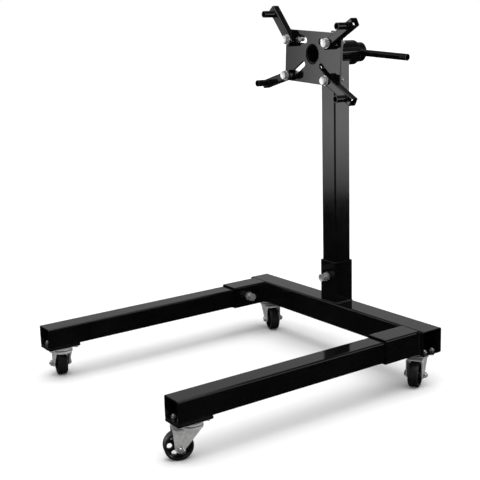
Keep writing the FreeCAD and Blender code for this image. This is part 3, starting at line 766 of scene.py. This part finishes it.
class Workshop:
    """What every sub-assembly needs: finishes, node trees, and ways to hand over a piece."""

    def __init__(self) -> None:
        """Make the finishes and the node trees."""
        self.materials = {finish: finish.build() for finish in Finish}
        self.weld_tree = WeldTree()
        self.spread_tree = SpreadTree()
        self.joints: dict[str, dict[str, Any]] = {joint["name"]: joint for joint in frame["joints"]}

    def hand_over(
        self, piece: bpy.types.Object, body: str, finish: Finish, replaced: Iterable[str] = ()
    ) -> None:
        """Give a piece its finish and its body, hide the nodes that it stands for, and report it.

        Args:
            piece: the finished object.
            body: the body that it moves with.
            finish: its finish.
            replaced: nodes that it stands for.
        """
        piece.data.materials.clear()
        piece.data.materials.append(self.materials[finish])
        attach(piece, body)
        nodes = list(replaced)
        if nodes:
            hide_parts(*nodes)
        finish.slot
        LOG.info("%s on %s: %d faces", piece.name, body, len(piece.data.polygons))

    def hand_over_hardware(
        self, name: str, work: BMesh, stand: Matrix, body: str, node: str
    ) -> None:
        """Make drawn hardware a zinc-plated piece that stands for a node.

        Args:
            name: the piece's name.
            work: the drawn hardware.
            stand: the matrix that puts it in its place.
            body: the body that it moves with.
            node: the node that it stands for.
        """
        bmesh.ops.transform(work, matrix=stand, verts=work.verts)
        piece = from_bmesh(name, work)
        smooth_between_edges(piece.data)
        self.hand_over(piece, body, Finish.ZINC, [node])

    def round_off(
        self, node: str, body: str, finish: Finish, width: float,
        segments: int = 2, holed: bool = False,
    ) -> None:
        """Replace a node by its copy with rounded edges.

        Args:
            node: the node's name.
            body: its body.
            finish: its finish.
            width: how far the rounding reaches.
            segments: faces across the rounding.
            holed: True where a flat face has many holes.
        """
        self.hand_over(rounded_copy(node, width, segments, holed), body, finish, [node])

    def weld(
        self, name: str, body: str, paths: Iterable[Sequence[Vector]], radius: float, seed: int
    ) -> None:
        """Lay painted weld beads along paths.

        Args:
            name: the piece's name.
            body: the body that it moves with.
            paths: the runs of the beads.
            radius: half the bead's width.
            seed: seed of the ripples' sizes.
        """
        work = bmesh.new()
        for path in paths:
            points = [work.verts.new(point) for point in path]
            for start, stop in zip(points, points[1:]):
                work.edges.new((start, stop))
        bead = from_bmesh(name, work)
        values = {
            "Ripple Spacing": radius * 0.62,
            "Bead Radius": radius,
            "Seed": seed,
            "Finish": self.materials[Finish.PAINT],
        }
        self.weld_tree.run(bead, values)
        self.hand_over(bead, body, Finish.PAINT)

    def spread(
        self, name: str, points: Sequence[Vector], hardware: bpy.types.Object,
        largest_turn: float, seed: int,
    ) -> bpy.types.Object:
        """Put hardware on points.

        Args:
            name: the piece's name.
            points: where each one goes.
            hardware: the object that is repeated, which is removed afterwards.
            largest_turn: largest turn of one about Z, in radians.
            seed: seed of the turns.

        Returns:
            The piece, not yet handed over.
        """
        work = bmesh.new()
        for point in points:
            work.verts.new(point)
        piece = from_bmesh(name, work)
        values = {
            "Hardware": hardware,
            "Largest Turn": largest_turn,
            "Seed": seed,
            "Finish": self.materials[Finish.ZINC],
        }
        self.spread_tree.run(piece, values)
        bpy.data.objects.remove(hardware)
        return piece


def ring_path(centre: Vector, axis: Vector, radius: float, steps: int = 32) -> list[Vector]:
    """Points of a closed circle.

    Args:
        centre: the circle's middle.
        axis: the direction that it is square to.
        radius: its radius.
        steps: number of its sides.

    Returns:
        The points, with the first one again at the end.
    """
    stand = axis_frame(centre, axis)
    angles = [math.tau * k / steps for k in range(steps + 1)]
    return [
        stand @ Vector((radius * math.cos(angle), radius * math.sin(angle), 0.0))
        for angle in angles
    ]


# --- the stand's sub-assemblies ---


@dataclass
class Base:
    """Crossbeam with its leg sockets, its post socket, their welded nuts and the weld beads."""

    shop: Workshop
    edge: float = 0.0007
    bead: float = 0.0022
    bead_sink: float = 0.0004
    nut_bead_rise: float = 0.0008
    socket_corner: float = 0.004
    foot_corner: float = 0.0035
    body: str = "base"

    def build(self) -> None:
        """Build every piece of the base."""
        for node in ("crossbeam", "post_socket", "leg_socket_left", "leg_socket_right"):
            self.shop.round_off(node, self.body, Finish.PAINT, self.edge)
        self.build_nuts()
        self.shop.weld("base_weld_beads", self.body, self.weld_paths(), self.bead, seed=11)

    def nut_seats(self) -> list[tuple[Vector, Vector]]:
        """Where each welded nut sits on its socket, and which way it faces.

        Returns:
            The seats and their outward directions.
        """
        seats = []
        for side, outward in zip(SIDES, (1.0, -1.0)):
            low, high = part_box("leg_lock_bolt_" + side)
            socket_low, socket_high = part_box("leg_socket_" + side)
            wall = socket_high.x if outward > 0 else socket_low.x
            middle = (low + high) / 2
            seats.append((Vector((wall, middle.y, middle.z)), Vector((outward, 0.0, 0.0))))
        low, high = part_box("post_lock_bolt")
        middle = (low + high) / 2
        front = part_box("post_socket")[0].y
        seats.append((Vector((middle.x, front, middle.z)), FORWARDS))
        return seats

    def build_nuts(self) -> None:
        """Build the three nuts that are welded to the sockets."""
        work = bmesh.new()
        for seat, facing in self.nut_seats():
            drawn = len(work.verts)
            M12.add_nut(work, 0.0, WELDED_NUT_SCALE)
            work.verts.ensure_lookup_table()
            stand = axis_frame(seat, facing, math.pi / 6)
            bmesh.ops.transform(work, matrix=stand, verts=work.verts[drawn:])
        self.shop.hand_over_hardware(
            "socket_nuts_finished", work, Matrix(), self.body, "socket_lock_nuts"
        )

    def weld_paths(self) -> list[list[Vector]]:
        """Runs of the beads at the sockets' feet and round the nuts.

        Returns:
            The points of each run.
        """
        paths = []
        for side in SIDES:
            low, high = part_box("leg_socket_" + side)
            back = high.y - self.bead_sink
            cut = self.socket_corner
            rim = [
                (low.x, high.z - cut), (low.x, low.z + cut), (low.x + cut, low.z),
                (high.x - cut, low.z), (high.x, low.z + cut), (high.x, high.z - cut),
            ]
            paths.append([Vector((x, back, z)) for x, z in rim])
        low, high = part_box("post_socket")
        foot = low.z + self.bead_sink
        cut = self.foot_corner
        corners = [
            (low.x + cut, low.y), (high.x - cut, low.y), (high.x, low.y + cut),
            (high.x, high.y - cut), (high.x - cut, high.y), (low.x + cut, high.y),
            (low.x, high.y - cut), (low.x, low.y + cut), (low.x + cut, low.y),
        ]
        paths.append([Vector((x, y, foot)) for x, y in corners])
        for seat, facing in self.nut_seats():
            raised = seat + facing * self.nut_bead_rise
            paths.append(ring_path(raised, facing, M12.corner * 0.97))
        return paths


@dataclass
class Leg:
    """One leg tube with the pad under its tip."""

    shop: Workshop
    side: str
    edge: float = 0.0006
    bead: float = 0.0018
    bead_sink: float = 0.0002
    inset: float = 0.0035
    end_gap: float = 0.006
    front_gap: float = 0.008
    rear_rise: float = 0.0006

    def build(self) -> None:
        """Build the leg, its pad and the pad's beads."""
        body = f"leg_{self.side}_unit"
        self.shop.round_off("leg_" + self.side, body, Finish.PAINT, self.edge)
        self.shop.round_off("leg_pad_" + self.side, body, Finish.PAINT, self.edge)
        low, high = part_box("leg_pad_" + self.side)
        top = high.z - self.bead_sink
        paths = [
            [Vector((x, low.y + self.front_gap, top)), Vector((x, high.y - self.end_gap, top))]
            for x in (low.x + self.inset, high.x - self.inset)
        ]
        rear = high.y + self.rear_rise
        ends = (low.x + self.end_gap, high.x - self.end_gap)
        paths.append([Vector((x, rear, top)) for x in ends])
        self.shop.weld(f"leg_pad_beads_{self.side}", body, paths, self.bead, seed=23)


@dataclass
class Post:
    """Upright post with the sleeve across its top and the sleeve's welded nut."""

    shop: Workshop
    edge: float = 0.0004
    sleeve_edge: float = 0.0007
    bead: float = 0.0022
    bead_rise: float = 0.0003
    saddle_steps: int = 14
    body: str = "post_unit"

    def build(self) -> None:
        """Build the post, the sleeve, the nut and the beads."""
        self.shop.round_off("post", self.body, Finish.PAINT, self.edge)
        self.shop.round_off("sleeve", self.body, Finish.PAINT, self.sleeve_edge)
        work = bmesh.new()
        M12.add_nut(work, 0.0, WELDED_NUT_SCALE)
        stand = axis_frame(self.nut_seat(), UP)
        self.shop.hand_over_hardware(
            "sleeve_nut_finished", work, stand, self.body, "sleeve_lock_nut"
        )
        self.shop.weld("post_weld_beads", self.body, self.weld_paths(), self.bead, seed=31)

    def nut_seat(self) -> Vector:
        """The point of the sleeve's crown under the locking bolt."""
        low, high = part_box("sleeve_lock_nut")
        return Vector(((low.x + high.x) / 2, (low.y + high.y) / 2, low.z))

    def weld_paths(self) -> list[list[Vector]]:
        """Runs of the beads where the post meets the sleeve, and round the nut's foot.

        Returns:
            The points of each run.
        """
        low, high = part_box("post")
        sleeve_low, sleeve_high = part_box("sleeve")
        axis_z = (sleeve_low.z + sleeve_high.z) / 2
        radius = (sleeve_high.z - sleeve_low.z) / 2 + self.bead_rise
        half = high.x
        steps = self.saddle_steps

        def saddle(x: float, y: float) -> Vector:
            """The sleeve's underside at a point of the post's section."""
            return Vector((x, y, axis_z - math.sqrt(radius**2 - x**2)))

        front = [saddle(-half + 2 * half * k / steps, low.y) for k in range(steps + 1)]
        rear = [saddle(half - 2 * half * k / steps, high.y) for k in range(steps + 1)]
        collar = [
            Vector((point.x, point.y, axis_z + math.sqrt(radius**2 - point.x**2)))
            for point in ring_path(self.nut_seat(), UP, M12.corner * 1.02)
        ]
        return [front + rear + [front[0]], collar]


@dataclass
class Head:
    """Turning head: mounting plate, spindle tube, handle bar, and the tube's beads."""

    shop: Workshop
    plate_edge: float = 0.0006
    spindle_edge: float = 0.0007
    bar_edge: float = 0.0004
    bead: float = 0.0025
    body: str = "head"

    def build(self) -> None:
        """Build the head's pieces."""
        self.shop.round_off("mounting_plate", self.body, Finish.PAINT, self.plate_edge)
        self.shop.round_off("spindle_tube", self.body, Finish.PAINT, self.spindle_edge)
        self.shop.round_off("handle_bar", "handle", Finish.PAINT, self.bar_edge)
        low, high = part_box("spindle_tube")
        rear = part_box("mounting_plate")[1].y
        radius = (high.x - low.x) / 2
        outer = Vector((0.0, rear + 0.0006, (low.z + high.z) / 2))
        inner = Vector((0.0, low.y - 0.0002, outer.z))
        paths = [
            ring_path(outer, REARWARDS, radius + 0.0004, 48),
            ring_path(inner, REARWARDS, radius - 0.0018, 48),
        ]
        self.shop.weld("head_weld_beads", self.body, paths, self.bead, seed=41)


@dataclass
class Arm:
    """One adjustable arm with its finger, and the bolt, washers and nut that clamp it."""

    shop: Workshop
    name: str
    edge: float = 0.0003
    bead: float = 0.0015
    bead_sink: float = 0.0004
    contact_gap: float = 0.00004
    shank_end: float = 0.001
    head_turn: float = 0.35

    def build(self) -> None:
        """Build the arm's tube and finger, the finger's bead, and the clamping bolt."""
        body = f"arm_{self.name}_unit"
        self.shop.round_off("arm_" + self.name, body, Finish.PAINT, self.edge)
        self.shop.round_off("finger_" + self.name, body, Finish.PAINT, self.edge)
        low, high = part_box("finger_" + self.name)
        foot = Vector(((low.x + high.x) / 2, high.y - self.bead_sink, (low.z + high.z) / 2))
        path = ring_path(foot, REARWARDS, (high.x - low.x) / 2, 28)
        self.shop.weld(f"finger_beads_{self.name}", body, [path], self.bead, seed=53)
        self.build_bolt()

    def build_bolt(self) -> None:
        """Build the bolt through the arm and its slot."""
        node = "arm_bolt_" + self.name
        low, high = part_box(node)
        centre = (low + high) / 2
        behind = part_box("mounting_plate")[1].y - low.y
        nut = behind + M12.washer
        work = bmesh.new()
        M12.hang_head(work, M12.head)
        M12.add_washer(work, M12.head)
        M12.add_shank(work, M12.head - self.shank_end, nut + self.shank_end)
        M12.add_washer(work, behind + self.contact_gap)
        M12.add_nut(work, nut)
        M12.add_thread(work, nut, high.y - low.y)
        stand = axis_frame(Vector((centre.x, low.y, centre.z)), REARWARDS, self.head_turn)
        self.shop.hand_over_hardware(node + "_finished", work, stand, node + "_unit", node)


class LockPlace(enum.Enum):
    """The locking bolts, with their outward directions."""

    LEG_LEFT = ("leg_lock_bolt_left", "leg_lock_left", (1.0, 0.0, 0.0))
    LEG_RIGHT = ("leg_lock_bolt_right", "leg_lock_right", (-1.0, 0.0, 0.0))
    POST = ("post_lock_bolt", "post_lock", (0.0, -1.0, 0.0))
    SLEEVE = ("sleeve_lock_bolt", "sleeve_lock", (0.0, 0.0, 1.0))


@dataclass
class LockBolt:
    """One locking bolt: hexagonal head and a thread down to its tip."""

    shop: Workshop
    place: LockPlace

    head_turn: float = 0.3

    def build(self) -> None:
        """Build the bolt."""
        node, body, direction = self.place.value
        low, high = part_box(node)
        outward = Vector(direction)
        length = abs((high - low).dot(outward))
        foot = (low + high) / 2 - outward * length / 2
        bearing = length - M12.head
        work = bmesh.new()
        M12.add_thread(work, 0.0, bearing + OVERLAP)
        M12.add_head(work, bearing)
        stand = axis_frame(foot, outward, self.head_turn)
        self.shop.hand_over_hardware(node + "_finished", work, stand, body, node)


@dataclass
class Caster:
    """One swivel caster: top plate, bolts, balls, kingpin, yoke, wheel and axle."""

    shop: Workshop
    name: str
    plate_edge: float = 0.0004
    wheel_edge: float = 0.0006
    ball_count: int = 16
    ball_fit: float = 0.995
    half_yoke: float = 0.020
    axle_tip: float = 0.003
    axle_turn: float = 0.5
    nut_turn: float = 0.9

    def build(self) -> None:
        """Build the caster's pieces."""
        end, side = self.name.split("_")
        fixed = f"leg_{side}_unit" if end == "front" else "base"
        swivel, roller = "swivel_" + self.name, "roller_" + self.name
        round_off = self.shop.round_off
        round_off("caster_plate_" + self.name, fixed, Finish.SHEET, self.plate_edge)
        round_off("kingpin_" + self.name, fixed, Finish.ZINC, self.plate_edge)
        round_off("yoke_" + self.name, swivel, Finish.SHEET, self.plate_edge)
        round_off("wheel_" + self.name, roller, Finish.WHEEL, self.wheel_edge, 3, holed=True)
        self.build_bolts(fixed, GRIP[end])
        self.build_balls(fixed)
        self.build_axle(swivel)

    def build_bolts(self, body: str, grip: float) -> None:
        """Build the four bolts and nuts of the top plate.

        Args:
            body: the body that carries the plate.
            grip: thickness that each bolt holds together.
        """
        node = "caster_bolts_" + self.name
        low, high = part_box(node)
        under = low.z + M6.head
        points = [
            Vector((x, y, under))
            for x in (low.x + M6.corner, high.x - M6.corner)
            for y in (low.y + M6.apothem, high.y - M6.apothem)
        ]
        work = bmesh.new()
        M6.hang_head(work, 0.0)
        M6.add_shank(work, -OVERLAP, grip + OVERLAP)
        M6.add_nut(work, grip)
        M6.add_thread(work, grip, high.z - under)
        one = from_bmesh("plate_bolt", work)
        smooth_between_edges(one.data)
        seed = 61 + CORNERS.index(self.name)
        piece = self.shop.spread(node + "_finished", points, one, self.nut_turn, seed)
        self.shop.hand_over(piece, body, Finish.ZINC, [node])

    def build_balls(self, body: str) -> None:
        """Build the ring of bearing balls.

        Args:
            body: the body that carries the race.
        """
        node = "caster_balls_" + self.name
        low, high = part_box(node)
        centre = (low + high) / 2
        radius = (high.z - low.z) / 2
        ring = (high.x - low.x) / 2 - radius
        points = ring_path(centre, UP, ring, self.ball_count)[:-1]
        work = bmesh.new()
        bmesh.ops.create_icosphere(work, subdivisions=3, radius=radius * self.ball_fit)
        one = from_bmesh("ball", work)
        one.data.shade_smooth()
        piece = self.shop.spread(node + "_finished", points, one, 0.0, seed=1)
        self.shop.hand_over(piece, body, Finish.BEARING, [node])

    def build_axle(self, body: str) -> None:
        """Build the axle bolt and its nut.

        Args:
            body: the body that carries the axle.
        """
        node = "axle_" + self.name
        joint = self.shop.joints["wheel_spin_" + self.name]
        yoke_width = 2 * self.half_yoke
        work = bmesh.new()
        M8.hang_head(work, 0.0)
        M8.add_shank(work, -OVERLAP, yoke_width)
        M8.add_nut(work, yoke_width)
        M8.add_thread(work, yoke_width, yoke_width + M8.nut + self.axle_tip)
        axis = Vector(joint["axis"]).normalized()
        start = Vector(joint["pos_m"]) - axis * self.half_yoke
        stand = axis_frame(start, axis, self.axle_turn)
        self.shop.hand_over_hardware(node + "_finished", work, stand, body, node)


# --- studio ---


class SurroundingsTree(NodeTree):
    """The world's node tree, with brightness patterns over its directions."""

    def mix(self, operation: str, first: Socket, second: Socket | float) -> Socket:
        """Combine two values.

        Args:
            operation: what is done with them.
            first: the first value.
            second: the second one, or a number.

        Returns:
            The result.
        """
        node = self.add("ShaderNodeMath", operation=operation)
        self.join(first, node.inputs[0])
        if isinstance(second, float):
            node.inputs[1].default_value = second
        else:
            self.join(second, node.inputs[1])
        return node.outputs["Value"]

    def ramp(self, source: Socket, stops: Stops) -> Socket:
        """Brightness that changes between stops along a value from -1 to 1.

        Args:
            source: the value.
            stops: the values and their brightnesses.

        Returns:
            The brightness.
        """
        place = self.add("ShaderNodeMapRange", Value=source, From_Min=-1.0)
        node = self.add("ShaderNodeValToRGB", Fac=place.outputs["Result"])
        elements = node.color_ramp.elements
        while len(elements) < len(stops):
            elements.new(0.5)
        for element, (position, bright) in zip(elements, stops):
            element.position = (position + 1.0) / 2.0
            element.color = (bright, bright, bright, 1.0)
        return node.outputs["Color"]


@dataclass
class Studio:
    """Camera, white floor, surroundings and light.

    The stops run over the sine of the height and over half turns about Z, both from -1 to 1.
    """

    eye: tuple[float, float, float] = (1.7927, -1.2725, 0.8313)
    right: tuple[float, float, float] = (0.5835, 0.8116, -0.0271)
    up: tuple[float, float, float] = (-0.1608, 0.1481, 0.9758)
    back: tuple[float, float, float] = (0.796, -0.565, 0.217)
    lens: float = 71.74
    sensor: float = 36.0
    nearest: float = 0.05
    farthest: float = 200.0
    floor_half: float = 60.0
    room_light: float = 0.6
    card_light: float = 2.6
    overhead_light: float = 2.2
    softness: float = 62.0
    towards_light: tuple[float, float, float] = (0.12, 0.02, 1.0)
    band_heights: Stops = (
        (-1.0, 0.0), (-0.177, 0.0), (-0.168, 0.33), (-0.153, 0.52), (-0.137, 0.68),
        (-0.122, 0.85), (-0.105, 1.0), (0.06, 1.0), (0.14, 0.0), (1.0, 0.0),
    )
    band_turns: Stops = (
        (-1.0, 0.5), (-0.84, 0.28), (-0.786, 0.26), (-0.772, 0.82), (-0.69, 0.85), (-0.6, 0.3),
        (-0.5, 0.02), (0.05, 0.02), (0.16, 0.95), (0.4, 1.0), (0.7, 0.7), (1.0, 0.5),
    )
    sky_heights: Stops = (
        (-1.0, 0.0), (-0.2, 0.008), (0.0, 0.02), (0.14, 0.165), (0.4, 0.15), (0.46, 0.3),
        (0.52, 0.3), (0.6, 0.05), (1.0, 0.05),
    )
    sky_turns: Stops = (
        (-1.0, 1.0), (-0.85, 0.9), (-0.6, 0.4), (0.0, 0.25), (0.35, 0.3), (0.65, 0.9),
        (0.7, 1.0), (1.0, 1.0),
    )

    def build(self) -> None:
        """Set up everything that isn't part of the stand."""
        self.place_camera()
        self.lay_floor()
        self.light_surroundings()
        self.hang_light()
        bpy.context.scene.view_settings.view_transform = "Standard"

    def place_camera(self) -> None:
        """Place the camera."""
        data = bpy.data.cameras.new("camera")
        data.lens = self.lens
        data.sensor_width = self.sensor
        data.clip_start = self.nearest
        data.clip_end = self.farthest
        camera = new_object("camera", data)
        turn = Matrix((self.right, self.up, self.back)).transposed().to_4x4()
        camera.matrix_world = Matrix.Translation(self.eye) @ turn
        bpy.context.scene.camera = camera

    def lay_floor(self) -> None:
        """Lay a large white floor that glossy reflections don't see."""
        work = bmesh.new()
        bmesh.ops.create_grid(work, x_segments=4, y_segments=4, size=self.floor_half)
        floor = from_bmesh("floor", work)
        floor.data.materials.append(StudioPaper().build())
        floor.visible_glossy = False

    def light_surroundings(self) -> None:
        """Even white surroundings, with dark and bright cards that only reflections see."""
        world = bpy.data.worlds.new("studio")
        world.use_nodes = True
        bpy.context.scene.world = world
        world.node_tree.nodes.clear()
        tree = SurroundingsTree(world.node_tree)
        direction = tree.add("ShaderNodeTexCoord").outputs["Generated"]
        split = tree.add("ShaderNodeSeparateXYZ", Vector=direction)
        height = split.outputs["Z"]
        turn = tree.mix("ARCTAN2", split.outputs["Y"], split.outputs["X"])
        half_turns = tree.mix("DIVIDE", turn, math.pi)
        band, sky = (
            tree.mix("MULTIPLY", tree.ramp(height, heights), tree.ramp(half_turns, turns))
            for heights, turns in (
                (self.band_heights, self.band_turns),
                (self.sky_heights, self.sky_turns),
            )
        )
        cards = tree.mix("ADD", band, sky)
        paths = tree.add("ShaderNodeLightPath")
        room = tree.mix("MAXIMUM", paths.outputs["Is Camera Ray"], self.room_light)
        choice = tree.add("ShaderNodeMixShader", Fac=paths.outputs["Is Glossy Ray"])
        for socket, source, label in ((1, room, "Strength"), (2, cards, "Color")):
            shine = tree.add(
                "ShaderNodeBackground", Color=(1.0, 1.0, 1.0, 1.0), Strength=self.card_light
            )
            tree.join(source, shine.inputs[label])
            tree.join(shine.outputs["Background"], choice.inputs[socket])
        tree.add("ShaderNodeOutputWorld", Surface=choice.outputs["Shader"])

    def hang_light(self) -> None:
        """Light everything evenly from a wide soft source above."""
        lamp = bpy.data.lights.new("overhead", "SUN")
        lamp.angle = math.radians(self.softness)
        lamp.energy = self.overhead_light
        thing = new_object("overhead", lamp)
        thing.rotation_euler = (-Vector(self.towards_light)).to_track_quat("-Z", "Y").to_euler()


# --- run ---


def main() -> None:
    """Build the studio and every sub-assembly in order."""
    logging.basicConfig(level=logging.INFO, format="%(name)s: %(message)s")
    Studio().build()
    shop = Workshop()
    Base(shop).build()
    for side in SIDES:
        Leg(shop, side).build()
    Post(shop).build()
    Head(shop).build()
    for name in ARM_NAMES:
        Arm(shop, name).build()
    for place in LockPlace:
        LockBolt(shop, place).build()
    for name in CORNERS:
        Caster(shop, name).build()


if __name__ == "__main__":
    main()
